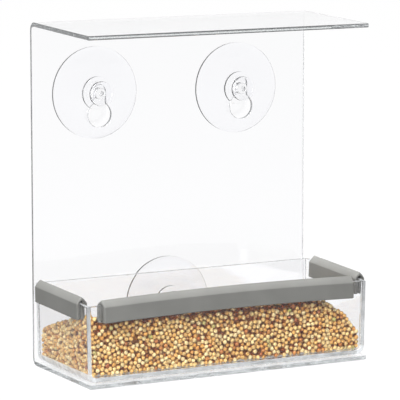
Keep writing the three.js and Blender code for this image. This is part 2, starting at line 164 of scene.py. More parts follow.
class FeederGripSettings(bpy.types.PropertyGroup):
    """The perch grips"""

    width: size("Width", "Across the channel", 5.5 * MM)
    height: size("Height", "From crown to foot", 10.8 * MM)
    crown: size("Crown", "Thickness over the slit", 1.4 * MM)
    relief: size("Relief", "Diameter of the round at the slit's top", 2.2 * MM)
    wall_gap: size("Wall gap", "Between the slit's sides and the wall", 0.08 * MM)
    dome: size("Dome", "Height of the arched top", 3.2 * MM)
    dome_power: number("Dome power", "2 is an ellipse, 1 a gable", 1.2)
    foot_round: size("Foot round", "Radius of the feet's edges", 0.35 * MM)
    end_round: size("End corner", "Radius of the ends, seen from beside the wall", 0.8 * MM)
    soft_edge: size("Soft edge", "Radius along the cut ends", 0.4 * MM)
    front_standoff: size("Front standoff", "From the front wall's top edge to the crown's ends", 2.7 * MM)
    front_bow: size("Front bow", "How far the front grip rises between its ends", 1.2 * MM)
    front_tilt: turn("Front tilt", "How far the front grip climbs to the right", 0.2)
    front_setback: size("Front setback", "From the tray's sides to the front grip's ends", 7 * MM)
    front_mitre: turn("Front mitre", "How far the front grip's left end is cut off square", 21)
    left_standoff: size("Left standoff", "From the left wall's top edge to the crown", 2.6 * MM)
    left_tilt: turn("Left tilt", "How far the left grip climbs to the back", 1)
    left_setback: size("Left setback", "From the tray's front to the left grip", 6.8 * MM)
    left_to_back: size("Left to back", "From the left grip to the back plate", 0.3 * MM)
    right_standoff: size("Right standoff", "From the right wall's top edge to the crown", 3.1 * MM)
    right_tilt: turn("Right tilt", "How far the right grip climbs to the back", 2)
    right_setback: size("Right setback", "From the tray's front to the right grip", 4.2 * MM)
    right_to_back: size("Right to back", "From the right grip to the back plate", 5 * MM)
    tint: colour("Silicone", "Colour of the grips", "#7D7D7A")
    # Painted light: makes what faces up on the grips lighter, as light from above does.
    painted_light_and_shade: share("Painted_top_light", "How much lighter dust and scuffs make what faces up", 0.45)
    # Painted shade: the cut ends of the grips are made darker than the rest.
    shaded_end: share("Cut ends", "How light the cut ends are beside the rest", 0.85)


class FeederSeedSettings(bpy.types.PropertyGroup):
    """The heap of millet"""

    grain: size("Grain", "Mean diameter of the room that a grain takes", 2.25 * MM)
    grain_spread: share("Grain spread", "How much grains differ in size", 0.08)
    grain_length: number("Grain length", "Length beside that diameter", 1.21)
    packing: share("Packing", "How much of the heap is grain", 0.63)
    crown: size("Crown", "Height of the heap at the front wall, over the tray's underside", 29.2 * MM)
    corner_rise: size("Corner rise", "How much higher the heap stands in the front left corner", 6 * MM)
    corner_width: size("Corner width", "How far that corner reaches along the front wall", 10 * MM)
    unevenness: size("Unevenness", "How far lumps stand out of the heap's top", 0.5 * MM)
    shown_depth: size("Shown depth", "How deep the loose grains reach before the core", 3.3 * MM)
    right_fall: share("Right fall", "How much of its height the heap loses at the right end", 0.78)
    right_fall_start: share("Fall start", "Where the fall to the right starts, from the middle", 0.62)
    right_fall_power: number("Fall curve", "How late the fall steepens", 1.96)
    back_fall: share("Back fall", "How much of its height the heap loses at the back", 0.5)
    back_fall_power: number("Back curve", "How late the back steepens", 1.8)
    # Painted shade: the colour that the grains turn where they lie deep between others.
    painted_gap_shade: colour("Gaps", "What the husk dust deep between the grains does to their colour", "#A45E00")
    seed: bpy.props.IntProperty(name="Seed", description="Start of the random numbers", default=7)


class FeederStageSettings(bpy.types.PropertyGroup):
    """Camera, lamps and floor"""

    camera_place: bpy.props.FloatVectorProperty(
        name="Camera",
        description="Where the camera stands",
        default=(-0.6186329, -1.178447, 0.2801346),
        unit="LENGTH",
        subtype="TRANSLATION",
    )
    camera_pitch: turn("Pitch", "The camera's tilt, from straight down", 81.4483)
    camera_yaw: turn("Yaw", "The camera's turn about the vertical", -27.6861)
    lens: number("Lens", "Focal length in millimetres", 250.19)
    floor_size: size("Floor", "Side of the floor", 30.0)
    surround: number("Surround", "Brightness of the room as it lights the object", 0.33)
    table_tone: share("Table tone", "How light the table is as it lights the object", 0.45)
    table_shade: share("Table shade", "How much of the table's white is lit from above and takes shadows", 0.07)
    front_tone: share("Front tone", "Brightness of the room before the object, as polished faces mirror it", 0.12)
    far_tone: share("Far front tone", "The same for the table half a metre before the object", 0.36)
    lamp_size: size("Lamp size", "Side of the softboxes", 0.8)
    lamp_distance: size("Lamp distance", "From the object to the softboxes", 1.5)
    lamp_side: turn("Lamp side", "How far left of the front the lamps stand", 41)
    key_power: number("Key light", "Power of the key lamp in watts", 19.5)
    key_height: turn("Key height", "How high the key lamp stands over the table", 55)
    fill_power: number("Fill light", "Power of the fill lamp in watts", 12.8)
    fill_height: turn("Fill height", "How high the fill lamp stands over the table", 12)


def sheets():
    return bpy.context.scene.feeder_sheets


def cups():
    return bpy.context.scene.feeder_cups


def grips():
    return bpy.context.scene.feeder_grips


def seeds():
    return bpy.context.scene.feeder_seeds


# Materials


def add_node(tree, kind, inputs=None, **settings):
    """Adds one shader node. Each input is a value, the socket that feeds it, or a node for its first output."""
    node = tree.nodes.new("ShaderNode" + kind)
    for name, value in settings.items():
        setattr(node, name, value)
    for key, value in (inputs or {}).items():
        if isinstance(value, bpy.types.Node):
            value = next(socket for socket in value.outputs if socket.enabled)
        if isinstance(value, bpy.types.NodeSocket):
            tree.links.new(value, node.inputs[key])
        else:
            node.inputs[key].default_value = value
    return node


def new_material(name):
    """An empty node material, and what adds nodes to it."""
    material = bpy.data.materials.new(name)
    material.use_nodes = True
    material.node_tree.nodes.clear()
    return material, partial(add_node, material.node_tree)


def per_metre(feature):
    """A noise or cell scale for a feature of a real size in metres."""
    return 1 / feature


def set_ramp(ramp_node, stops):
    """Gives a colour ramp its stops, as (place, hex colour)."""
    elements = ramp_node.color_ramp.elements
    while len(elements) < len(stops):
        elements.new(1)
    for element, (place, hex_colour) in zip(elements, stops):
        element.position = place
        element.color = linear(hex_colour)


def let_lamps_through(add, shader):
    """The shader, but clear to the light that casts shadows, as thin clear sheet nearly is."""
    shadow = add("LightPath").outputs["Is Shadow Ray"]
    clear = add("BsdfTransparent", {"Color": (0.97, 0.97, 0.97, 1.0)})
    return add("MixShader", {0: shadow, 1: shader, 2: clear})


def polished_sheet_acrylic():
    """Cast acrylic sheet, face polished, with cut edges that are sawn and scraped.

    To the eye: the faces all but vanish, and the edges are pale because they let out and scatter the
    light that runs along inside the sheet, with faint marks of the saw every 5 mm or so. Light that ran
    far inside is painted on as a glow, which stands for what it met at its far end: the bright table or
    the darker room.
    """
    s = sheets()
    material, add = new_material("Cast acrylic, polished sheet")
    place = add("TexCoord").outputs["Object"]
    saw = add("TexNoise", {"Vector": place, "Scale": per_metre(5 * MM), "Detail": 4.0, "Roughness": 0.6})
    least, most = s.edge_frost * 0.75, min(1.0, s.edge_frost * 1.25)
    frost = add("MapRange", {"Value": saw, "From Min": 0.35, "From Max": 0.65, "To Min": least, "To Max": most})
    edge = add("Attribute", attribute_name="cut_edge").outputs["Fac"]
    frosted = add("Math", {0: frost, 1: edge}, operation="MULTIPLY")
    glass = add(
        "BsdfPrincipled",
        {"Base Color": tuple(s.face_colour), "Roughness": 0.0, "IOR": 1.49, "Transmission Weight": 1.0},
    )
    scatter = add("BsdfDiffuse", {"Color": tuple(s.edge_colour)})
    pass_on = add("BsdfTranslucent", {"Color": tuple(s.edge_colour)})
    matt = add("MixShader", {0: 0.5, 1: scatter, 2: pass_on})
    surface = add("MixShader", {0: frosted, 1: glass, 2: matt})
    # Painted light: a path that bounced more than three times inside the sheet ends in a glow, brighter near the
    # table and streaked by the saw marks.
    bounces = add("LightPath").outputs["Glossy Depth"]
    is_trapped = add("Math", {0: bounces, 1: 3.5}, operation="GREATER_THAN")
    height = add("SeparateXYZ", {"Vector": place}).outputs["Z"]
    reach = {"Value": height, "From Max": s.trapped_reach, "To Min": s.trapped_low, "To Max": s.trapped_high}
    brightness = add("MapRange", reach, interpolation_type="SMOOTHSTEP")
    streaks = add("MapRange", {"Value": saw, "From Min": 0.35, "From Max": 0.6, "To Min": 0.45, "To Max": 1.08})
    glow = add("Math", {0: brightness, 1: streaks}, operation="MULTIPLY")
    painted_trapped_glow = add("Emission", {"Color": tuple(s.edge_colour), "Strength": glow})
    whole = add("MixShader", {0: is_trapped, 1: surface, 2: painted_trapped_glow})
    depth = add("VolumeAbsorption", {"Color": tuple(s.depth_colour), "Density": 5.0})
    add("OutputMaterial", {"Surface": let_lamps_through(add, whole), "Volume": depth})
    return material


def moulded_soft_pvc():
    """Soft PVC, injection moulded in polished tools.

    To the eye: as clear as water but softer at its outlines, with a slight waviness of the flow, 7 mm long.
    """
    s = cups()
    material, add = new_material("Soft PVC, moulded clear")
    place = add("TexCoord").outputs["Object"]
    flow = add("TexNoise", {"Vector": place, "Scale": per_metre(7 * MM), "Detail": 1.0})
    bump = add("Bump", {"Strength": 0.25, "Distance": 0.2 * MM, "Height": flow})
    look = {"Base Color": tuple(s.tint), "Roughness": 0.04, "IOR": 1.53, "Transmission Weight": 1.0}
    glass = add("BsdfPrincipled", look | {"Normal": bump})
    depth = add("VolumeAbsorption", {"Color": tuple(s.depth_colour), "Density": 8.0})
    add("OutputMaterial", {"Surface": let_lamps_through(add, glass), "Volume": depth})
    return material


def extruded_silicone():
    """Grey silicone rubber, extruded and cut to length.

    To the eye: matt and warm grey, with a fine grain of 0.9 mm and soft clouds of 14 mm. What faces up is
    painted lighter, as light from above would make it, and the cut ends are painted darker, as shade.
    """
    s = grips()
    material, add = new_material("Silicone rubber, extruded grey")
    place = add("TexCoord").outputs["Object"]
    grain = add("TexNoise", {"Vector": place, "Scale": per_metre(0.9 * MM), "Detail": 4.0, "Roughness": 0.65})
    cloud = add("TexNoise", {"Vector": place, "Scale": per_metre(14 * MM), "Detail": 2.0})
    tone = add("MapRange", {"Value": cloud, "From Min": 0.3, "From Max": 0.7, "To Min": 0.94, "To Max": 1.05})
    # Painted light: faces that point up are made lighter, by up to the share set on the grips.
    up = add("SeparateXYZ", {"Vector": add("NewGeometry").outputs["Normal"]}).outputs["Z"]
    painted_light_and_shade = add("MapRange", {"Value": up, "From Min": 0.1, "From Max": 0.7, "To Min": 1.0, "To Max": 1 + s.painted_light_and_shade})
    # Painted shade: the cut ends are darkened by the cut-ends share.
    end = add("Attribute", attribute_name="shaded_end").outputs["Fac"]
    cut = add("MapRange", {"Value": end, "To Min": 1.0, "To Max": s.shaded_end})
    top_lit_tone = add("Math", {0: tone, 1: painted_light_and_shade}, operation="MULTIPLY")
    shade = add("Math", {0: top_lit_tone, 1: cut}, operation="MULTIPLY")
    grey = add("Mix", {"Factor": 1.0, "A": tuple(s.tint), "B": shade}, data_type="RGBA", blend_type="MULTIPLY")
    roughness = add("MapRange", {"Value": grain, "To Min": 0.5, "To Max": 0.72})
    bump = add("Bump", {"Strength": 0.3, "Distance": 0.08 * MM, "Height": grain})
    rubber = add("BsdfPrincipled", {"Base Color": grey, "Roughness": roughness, "IOR": 1.43, "Normal": bump})
    add("OutputMaterial", {"Surface": rubber})
    return material


MILLET_HULLS = (
    (0.0, "#9A562C"),
    (0.03, "#B8783A"),
    (0.09, "#CC9549"),
    (0.4, "#D7AD67"),
    (0.75, "#DEC082"),
    (0.93, "#E8D29E"),
    (0.98, "#DEC68C"),
    (1.0, "#A8A254"),
)


def millet_hull():
    """Proso millet in the hull, dried.

    To the eye: small glossy beads from cream to red-brown, with husk flecks of 0.8 mm, each bead darker
    at its tip, and painted darker as shade where it lies deep between the grains round it.
    """
    material, add = new_material("Millet, dried in the hull")
    tone = add("Attribute", attribute_name="grain_tone").outputs["Fac"]
    tip = add("Attribute", attribute_name="grain_tip").outputs["Fac"]
    under = add("Attribute", attribute_name="grain_depth").outputs["Fac"]
    ramp = add("ValToRGB", {"Fac": tone})
    set_ramp(ramp, MILLET_HULLS)
    shade = add("MapRange", {"Value": tip, "From Min": 0.55, "From Max": 1.0, "To Min": 1.0, "To Max": 0.4})
    place = add("TexCoord").outputs["Object"]
    husk = add("TexNoise", {"Vector": place, "Scale": per_metre(0.8 * MM), "Detail": 1.0})
    flecks = add("MapRange", {"Value": husk, "From Min": 0.3, "From Max": 0.7, "To Min": 0.68, "To Max": 1.36})
    flecked = add("Math", {0: shade, 1: flecks}, operation="MULTIPLY")
    multiply = {"data_type": "RGBA", "blend_type": "MULTIPLY"}
    clean = add("Mix", {"Factor": 1.0, "A": ramp, "B": flecked}, **multiply)
    # Painted shade: the deeper a point lies under the heap's sides, the more it turns to the gap colour.
    painted_shade_depth = add("MapRange", {"Value": under, "From Min": 0.45 * MM, "From Max": 1.5 * MM})
    gap_shaded = add("Mix", {"Factor": painted_shade_depth, "A": clean, "B": tuple(seeds().painted_gap_shade)}, **multiply)
    hull = add("BsdfPrincipled", {"Base Color": gap_shaded, "Roughness": 0.32, "IOR": 1.45})
    add("OutputMaterial", {"Surface": hull})
    return material


def millet_depth():
    """The inside of the heap, where grains shade each other.

    To the eye: deep brown between the outer grains, lumpy at the size of a grain.
    """
    material, add = new_material("Millet, the shaded inside of the heap")
    place = add("TexCoord").outputs["Object"]
    lumps = add("TexVoronoi", {"Vector": place, "Scale": per_metre(seeds().grain)})
    ramp = add("ValToRGB", {"Fac": lumps})
    set_ramp(ramp, ((0.1, "#A8682A"), (0.9, "#6E3C0C")))
    heap = add("BsdfPrincipled", {"Base Color": ramp, "Roughness": 0.8})
    add("OutputMaterial", {"Surface": heap})
    return material


def looked_at_and_mirrored(add):
    """Two factors, each 1 or 0: for rays that see by themselves or through glass, and for mirrored rays."""
    ray = add("LightPath").outputs
    seen = add("Math", {0: ray["Is Camera Ray"], 1: ray["Is Transmission Ray"]}, operation="MAXIMUM")
    straight = add("Math", {0: ray["Diffuse Depth"], 1: 0.5}, operation="LESS_THAN")
    looked_at = add("Math", {0: seen, 1: straight}, operation="MULTIPLY")
    mirrored = add("Math", {0: ray["Is Glossy Ray"], 1: straight}, operation="MULTIPLY")
    return looked_at, mirrored


def front_to_back(add, along, front, back, front_tone):
    """A brightness that rises from the front tone to 1 between two values of Y."""
    rise = {"Value": along, "From Min": front, "From Max": back, "To Min": front_tone, "To Max": 1.0}
    return add("MapRange", rise, interpolation_type="SMOOTHSTEP")


def studio_floor(st):
    """White sweep of a product table, lit from below until it shows white.

    To the eye: an even white that only the object's soft shadow breaks. Polished faces mirror it as
    darker in front of the object, as they would in a studio that is white at the back alone.
    """
    material, add = new_material("Studio table, white")
    looked_at, mirrored = looked_at_and_mirrored(add)
    shade, tone = st.table_shade, st.table_tone
    paper = add("BsdfDiffuse", {"Color": (shade, shade, shade, 1.0)})
    glow = add("Emission", {"Color": WHITE, "Strength": 1.04 - shade})
    lit = add("AddShader", {0: paper, 1: glow})
    plain = add("BsdfDiffuse", {"Color": (tone, tone, tone, 1.0)})
    along = add("SeparateXYZ", {"Vector": add("TexCoord").outputs["Object"]}).outputs["Y"]
    sweep = front_to_back(add, along, 0.15, 0.6, st.front_tone)
    fade = {"Value": along, "From Min": -0.4, "From Max": -0.2, "To Min": st.far_tone, "To Max": 0.0}
    both = add("Math", {0: sweep, 1: add("MapRange", fade)}, operation="MAXIMUM")
    image = add("Emission", {"Color": WHITE, "Strength": both})
    in_mirrors = add("MixShader", {0: mirrored, 1: plain, 2: image})
    add("OutputMaterial", {"Surface": add("MixShader", {0: looked_at, 1: in_mirrors, 2: lit})})
    return material


# Outlines, in metres, as lists of Vector


def arc(centre, radius, start, end, steps):
    """Points on an arc, with both ends. Angles are in radians and end may lie below start."""
    angles = [start + (end - start) * i / steps for i in range(steps + 1)]
    return [Vector((centre[0] + radius * math.cos(a), centre[1] + radius * math.sin(a))) for a in angles]


def circle(centre, diameter, steps):
    """A closed loop."""
    return arc(centre, diameter / 2, 0, 2 * math.pi, steps)[:-1]


def rounded(corners, steps):
    """An open line with each corner (x, y, radius) between its ends rounded by an arc."""
    points = []
    for i, (x, y, radius) in enumerate(corners):
        here = Vector((x, y))
        if radius == 0:
            points.append(here)
            continue
        before = (Vector(corners[i - 1][:2]) - here).normalized()
        after = (Vector(corners[i + 1][:2]) - here).normalized()
        half_angle = before.angle(after) / 2
        reach = radius / math.tan(half_angle)
        centre = here + (before + after).normalized() * radius / math.sin(half_angle)
        first = here + before * reach - centre
        sweep = math.pi - 2 * half_angle
        sign = 1 if before.x * after.y - before.y * after.x < 0 else -1
        points += [centre + Matrix.Rotation(sign * sweep * step / steps, 2) @ first for step in range(steps + 1)]
    return points


def wound(loop, anticlockwise):
    """The loop, turned round if it runs the other way."""
    area = sum(a.x * b.y - b.x * a.y for a, b in zip(loop, loop[1:] + loop[:1])) / 2
    return loop if (area > 0) == anticlockwise else loop[::-1]


def moved_left(loop, distance):
    """The closed loop moved to its left by a distance, corner by corner."""
    moved = []
    for i, here in enumerate(loop):
        before = (here - loop[i - 1]).normalized()
        after = (loop[(i + 1) % len(loop)] - here).normalized()
        left_before = Vector((-before.y, before.x))
        left_after = Vector((-after.y, after.x))
        moved.append(here + (left_before + left_after) * distance / (1 + left_before.dot(left_after)))
    return moved


def is_inside(loop, point):
    """True if the point lies inside the closed loop."""
    inside = False
    for a, b in zip(loop, loop[1:] + loop[:1]):
        if (a.y > point.y) != (b.y > point.y):
            if point.x < a.x + (b.x - a.x) * (point.y - a.y) / (b.y - a.y):
                inside = not inside
    return inside


class BentLine:
    """The outside face of a bent sheet, seen on edge, by its developed length.

    The corners are where the flat outside faces would meet, with the inside of the bends to the left.
    """

    def __init__(self, corners, outside_radius, steps):
        points = [Vector(corner) for corner in corners]
        self.radius = outside_radius
        self.headings = [(b - a).normalized() for a, b in zip(points, points[1:])]
        self.starts = [points[0]]
        self.flat_from = [0.0]
        self.flat_to = []
        self.rows = []
        for i, corner in enumerate(points[1:-1]):
            turn_angle = self.headings[i].angle(self.headings[i + 1])
            reach = outside_radius * math.tan(turn_angle / 2)
            bend_from = self.flat_from[i] + (corner - self.headings[i] * reach - self.starts[i]).length
            bend_to = bend_from + outside_radius * turn_angle
            self.flat_to.append(bend_from)
            self.flat_from.append(bend_to)
            self.starts.append(corner + self.headings[i + 1] * reach)
            self.rows += [bend_from + (bend_to - bend_from) * step / steps for step in range(steps + 1)]
        self.length = self.flat_from[-1] + (points[-1] - self.starts[-1]).length
        self.flat_to.append(self.length)

    def at(self, along, depth):
        """The point at a developed length along the outside face and a depth under it."""
        last = len(self.starts) - 1
        i = max(k for k in range(last + 1) if along >= self.flat_from[k] or k == 0)
        heading = self.headings[i]
        inward = Vector((-heading.y, heading.x))
        if i == last or along <= self.flat_to[i]:
            return self.starts[i] + heading * (along - self.flat_from[i]) + inward * depth
        bend_start = self.starts[i] + heading * (self.flat_to[i] - self.flat_from[i])
        centre = bend_start + inward * self.radius
        turned = Matrix.Rotation((along - self.flat_to[i]) / self.radius, 2) @ inward
        return centre - turned * (self.radius - depth)


# Meshes


def show_piece(mesh, material, body, node):
    """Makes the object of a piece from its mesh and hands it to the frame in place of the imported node."""
    mesh.materials.append(material)
    piece = bpy.data.objects.new(mesh.name, mesh)
    bpy.context.scene.collection.objects.link(piece)
    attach(piece, body)
    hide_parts(node)


def finish_piece(name, bm, material, body, node, sharp_degrees=30):
    """Turns the BMesh into a piece that is smooth but for its sharp edges."""
    bmesh.ops.recalc_face_normals(bm, faces=bm.faces)
    mesh = bpy.data.meshes.new(name)
    bm.to_mesh(mesh)
    bm.free()
    mesh.shade_smooth()
    mesh.set_sharp_from_angle(angle=math.radians(sharp_degrees))
    show_piece(mesh, material, body, node)


def bridge(bm, near, far):
    """Faces between two closed rings of points, either of which may be a single point."""
    count = max(len(near), len(far))
    faces = []
    for i in range(count):
        j = (i + 1) % count
        corners = [near[i % len(near)], near[j % len(near)], far[j % len(far)], far[i % len(far)]]
        faces.append(bm.faces.new(list(dict.fromkeys(corners))))
    return faces


def sheet_mesh(outline, holes, rows, place, sawn=1.0):
    """A cut sheet with broken edges, as a BMesh.

    outline and holes are loops in the flat sheet, rows are the lengths at which it has a line of
    points across, and place(along, across, depth) gives a point in space. The cut edges carry sawn, which
    says how matt the saw left them, as the face attribute cut_edge.
    """
    s = sheets()
    loops = [wound(outline, True)] + [wound(hole, False) for hole in holes]
    inner = [moved_left(loop, s.chamfer) for loop in loops]
    flat, edges, starts = [], [], []
    for loop in inner:
        start = len(flat)
        starts.append(start)
        flat += loop
        edges += [(start + i, start + (i + 1) % len(loop)) for i in range(len(loop))]
    for row in rows:
        on_row = [i for i, point in enumerate(loops[0]) if abs(point.x - row) < 1e-6]
        edges.append((on_row[0], on_row[-1]))
    border = list(range(len(inner[0])))
    points, _, faces, origins, _, _ = delaunay_2d_cdt(flat, edges, [border], 1, 1e-8, True)
    corner_of = {source: i for i, sources in enumerate(origins) for source in sources}

    bm = bmesh.new()
    cut_edge = bm.faces.layers.float.new("cut_edge")
    upper = [bm.verts.new(place(p.x, p.y, 0)) for p in points]
    lower = [bm.verts.new(place(p.x, p.y, s.thickness)) for p in points]
    for face in faces:
        middle = sum((points[i] for i in face), Vector((0, 0))) / len(face)
        if any(is_inside(hole, middle) for hole in inner[1:]):
            continue
        bm.faces.new([upper[i] for i in face])
        bm.faces.new([lower[i] for i in reversed(face)])
    for start, loop in zip(starts, loops):
        rings = [
            [upper[corner_of[start + i]] for i in range(len(loop))],
            [bm.verts.new(place(p.x, p.y, s.chamfer)) for p in loop],
            [bm.verts.new(place(p.x, p.y, s.thickness - s.chamfer)) for p in loop],
            [lower[corner_of[start + i]] for i in range(len(loop))],
        ]
        for matt, near, far in zip((0.0, sawn, 0.0), rings, rings[1:]):
            for face in bridge(bm, near, far):
                face[cut_edge] = matt
    return bm


def lathe_mesh(profile, centre, sides):
    """A solid turned about an axis along Y through the centre. The profile is (radius, behind centre)."""
    bm = bmesh.new()
    rings = []
    for radius, behind in profile:
        angles = [2 * math.pi * i / sides for i in range(sides)] if radius > 1e-7 else [0]
        around = [Vector((radius * math.cos(a), behind, radius * math.sin(a))) for a in angles]
        rings.append([bm.verts.new(centre + point) for point in around])
    for near, far in zip(rings, rings[1:]):
        bridge(bm, near, far)
    return bm


class FeederPlaces:
    """Where things are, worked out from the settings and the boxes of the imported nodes."""

    def __init__(self):
        s = sheets()
        tray_low, tray_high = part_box("tray_body")
        self.tray_under = tray_low[2]
        self.tray_floor = self.tray_under + s.thickness
        self.tray_front = tray_low[1]
        self.tray_back = tray_high[1]
        self.tray_centre_x = (tray_low[0] + tray_high[0]) / 2
        self.tray_half = s.shell_width / 2
        self.rim_slope = math.atan((s.tray_back_height - s.tray_front_height) / (self.tray_back - self.tray_front))

    def rim_height(self, y):
        """Height of the side walls' top edges at a depth y."""
        s = sheets()
        middle = self.tray_under + (s.tray_front_height + s.tray_back_height) / 2
        return middle + (y - (self.tray_front + self.tray_back) / 2) * math.tan(self.rim_slope)

    def tray_line(self, height):
        """The tray's outside face from the top of the left wall round to the top of the right wall."""
        s = sheets()
        spread = height * math.tan(s.tray_lean)
        left = self.tray_centre_x - self.tray_half
        right = self.tray_centre_x + self.tray_half
        under = self.tray_under
        corners = ((left - spread, under + height), (left, under), (right, under), (right + spread, under + height))
        return BentLine(corners, s.inside_bend + s.thickness, 10)


def keyhole(x, top):
    """The outline of a keyhole in the panel. top is the height of the slot's round end's centre."""
    s = sheets()
    slot = s.keyhole_slot / 2
    hole = s.keyhole_round / 2
    throat = s.keyhole_throat
    rise = math.sqrt((hole + throat) ** 2 - (slot + throat) ** 2)
    angle = math.atan2(rise, slot + throat)
    low = top - s.keyhole_travel
    return (
        arc((x, top), slot, 0, math.pi, 16)
        + arc((x - slot - throat, low + rise), throat, 0, -angle, 5)
        + arc((x, low), hole, math.pi - angle, 2 * math.pi + angle, 32)[1:-1]
        + arc((x + slot + throat, low + rise), throat, math.pi + angle, math.pi, 5)
    )


def rounded_band(length, width, corner, rows):
    """A flat sheet's outline with rounded corners, and a point on each long side at every row."""
    half = width / 2
    right = math.pi / 2
    return (
        arc((corner, corner - half), corner, 2 * right, 3 * right, 5)
        + [Vector((row, -half)) for row in rows]
        + arc((length - corner, corner - half), corner, 3 * right, 4 * right, 5)
        + arc((length - corner, half - corner), corner, 0, right, 5)
        + [Vector((row, half)) for row in reversed(rows)]
        + arc((corner, half - corner), corner, right, 2 * right, 5)
    )


# Pieces


class FEEDER_OT_shell(bpy.types.Operator):
    """Makes the shell: roof, panel and base from one sheet, with its keyholes and drain holes"""

    bl_idname = "feeder.make_shell"
    bl_label = "Shell"

    def execute(self, context):
        s = sheets()
        half = s.shell_depth / 2
        fall = s.shell_depth * math.tan(s.roof_fall)
        corners = ((-half, 0), (half, 0), (half, s.shell_height), (-half, s.shell_height - fall))
        line = BentLine(corners, s.inside_bend + s.thickness, 12)
        panel_foot = line.flat_from[1] - line.starts[1].y
        upper = s.shell_height - s.upper_keyhole_drop
        side = s.keyhole_spacing / 2
        panel_holes = [keyhole(-side, upper), keyhole(side, upper), keyhole(0, s.lower_keyhole_height)]
        holes = [[Vector((panel_foot + p.y, p.x)) for p in hole] for hole in panel_holes]
        for across in (-s.drain_spacing / 2, s.drain_spacing / 2):
            holes.append(circle((half + s.drain_behind_centre, across), s.drain_diameter, 40))
        outline = rounded_band(line.length, s.shell_width, s.shell_corner, line.rows)

        def place(along, across, depth):
            point = line.at(along, depth)
            return (across, point.x, point.y)

        bm = sheet_mesh(outline, holes, line.rows, place)
        finish_piece("shell_sheet", bm, polished_sheet_acrylic(), "shell", "shell")
        return {"FINISHED"}


class FEEDER_OT_tray(bpy.types.Operator):
    """Makes the seed tray: the bent body and its two end plates"""

    bl_idname = "feeder.make_tray"
    bl_label = "Seed tray"

    def execute(self, context):
        s = sheets()
        acrylic = bpy.data.materials["Cast acrylic, polished sheet"]
        places = FeederPlaces()
        self.make_body(places, acrylic)
        front = places.tray_front
        back = places.tray_back - s.thickness
        self.make_plate("tray_front_plate", "tray_front", places, s.tray_front_height, front, acrylic, s.tray_sawn)
        self.make_plate("tray_back_plate", "tray_back", places, s.tray_back_height, back, acrylic, s.back_sawn)
        return {"FINISHED"}

    def make_body(self, places, acrylic):
        s = sheets()
        line = places.tray_line(s.tray_back_height)
        step = (s.tray_back_height - s.tray_front_height) / math.cos(s.tray_lean)
        front, back = places.tray_front, places.tray_back
        front_edge = [step, *line.rows, line.length - step]
        back_edge = [line.length, *reversed(line.rows), 0]
        outline = [Vector((along, front)) for along in front_edge] + [Vector((along, back)) for along in back_edge]
        floor_from = line.flat_from[1] - (line.starts[1].x - places.tray_centre_x)
        drain_x = places.tray_half - s.tray_drain_inset
        drain_y = (back - front) / 2 - s.tray_drain_inset
        holes = [
            circle((floor_from + across * drain_x, (front + back) / 2 + along * drain_y), s.tray_drain_diameter, 20)
            for across in (-1, 1)
            for along in (-1, 1)
        ]

        def place(along, across, depth):
            point = line.at(along, depth)
            return (point.x, across, point.y)

        bm = sheet_mesh(outline, holes, line.rows, place, s.tray_sawn)
        cut_edge = bm.faces.layers.float["cut_edge"]
        for face in bm.faces:
            middle = face.calc_center_median()
            from_side = places.tray_half - abs(middle.x - places.tray_centre_x)
            if max(from_side, middle.z - places.tray_under) < line.radius:
                face[cut_edge] = max(face[cut_edge], s.bend_haze)
        finish_piece("tray_bent_body", bm, acrylic, "tray", "tray_body")

    def make_plate(self, name, node, places, height, front, acrylic, sawn):
        s = sheets()
        line = places.tray_line(height)
        ends = [0.0] + line.rows + [line.length]
        outline = [line.at(along, s.thickness + s.tray_joint) for along in ends]

        def place(along, across, below):
            return (along, front + below, across)

        finish_piece(name, sheet_mesh(outline, [], [], place, sawn), acrylic, "tray", node)


class FEEDER_OT_suction_cups(bpy.types.Operator):
    """Makes the three suction cups in their keyholes"""

    bl_idname = "feeder.make_suction_cups"
    bl_label = "Suction cups"

    def profile(self):
        """Radius and distance behind the panel, from the pin hole in the head to the hollow."""
        c = cups()
        pin, head, neck, boss, rim = (d / 2 for d in (c.pin_hole, c.head, c.neck, c.boss, c.diameter))
        head_back = -sheets().thickness - c.panel_gap
        head_front = head_back - c.head_thickness
        boss_back = c.panel_gap + c.boss_height
        # The third number is the radius of the corner.
        stem = [
            (0, head_front + c.pin_hole_depth, 0),
            (pin, head_front + c.pin_hole_depth, 0.3 * MM),
            (pin, head_front, 0.3 * MM),
            (head, head_front, 0.9 * MM),
            (head, head_back, 0.35 * MM),
            (neck, head_back, 0.2 * MM),
            (neck, c.panel_gap, 0.2 * MM),
            (boss, c.panel_gap, 0.25 * MM),
            (boss, boss_back, 0),
        ]
        points = rounded(stem, 4)
        for t in [i / 14 for i in range(1, 15)]:
            points.append(Vector((boss + (rim - boss) * t, boss_back + (c.depth - c.lip - boss_back) * t * t)))
        points += arc((rim - c.lip_round, c.depth - c.lip_round), c.lip_round, 0, math.pi / 2, 4)
        for t in [1 - i / 18 for i in range(19)]:
            points.append(Vector(((rim - c.land) * t, c.depth - c.hollow + c.hollow * t * t)))
        return points

    def execute(self, context):
        pvc = moulded_soft_pvc()
        profile = self.profile()
        for place in ("upper_left", "upper_right", "lower"):
            node = place + "_suction_cup"
            low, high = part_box(node)
            centre = Vector(((low[0] + high[0]) / 2, sheets().shell_depth / 2, (low[2] + high[2]) / 2))
            bm = lathe_mesh(profile, centre, 96)
            finish_piece(node + "_moulding", bm, pvc, place + "_cup", node, 40)
        return {"FINISHED"}


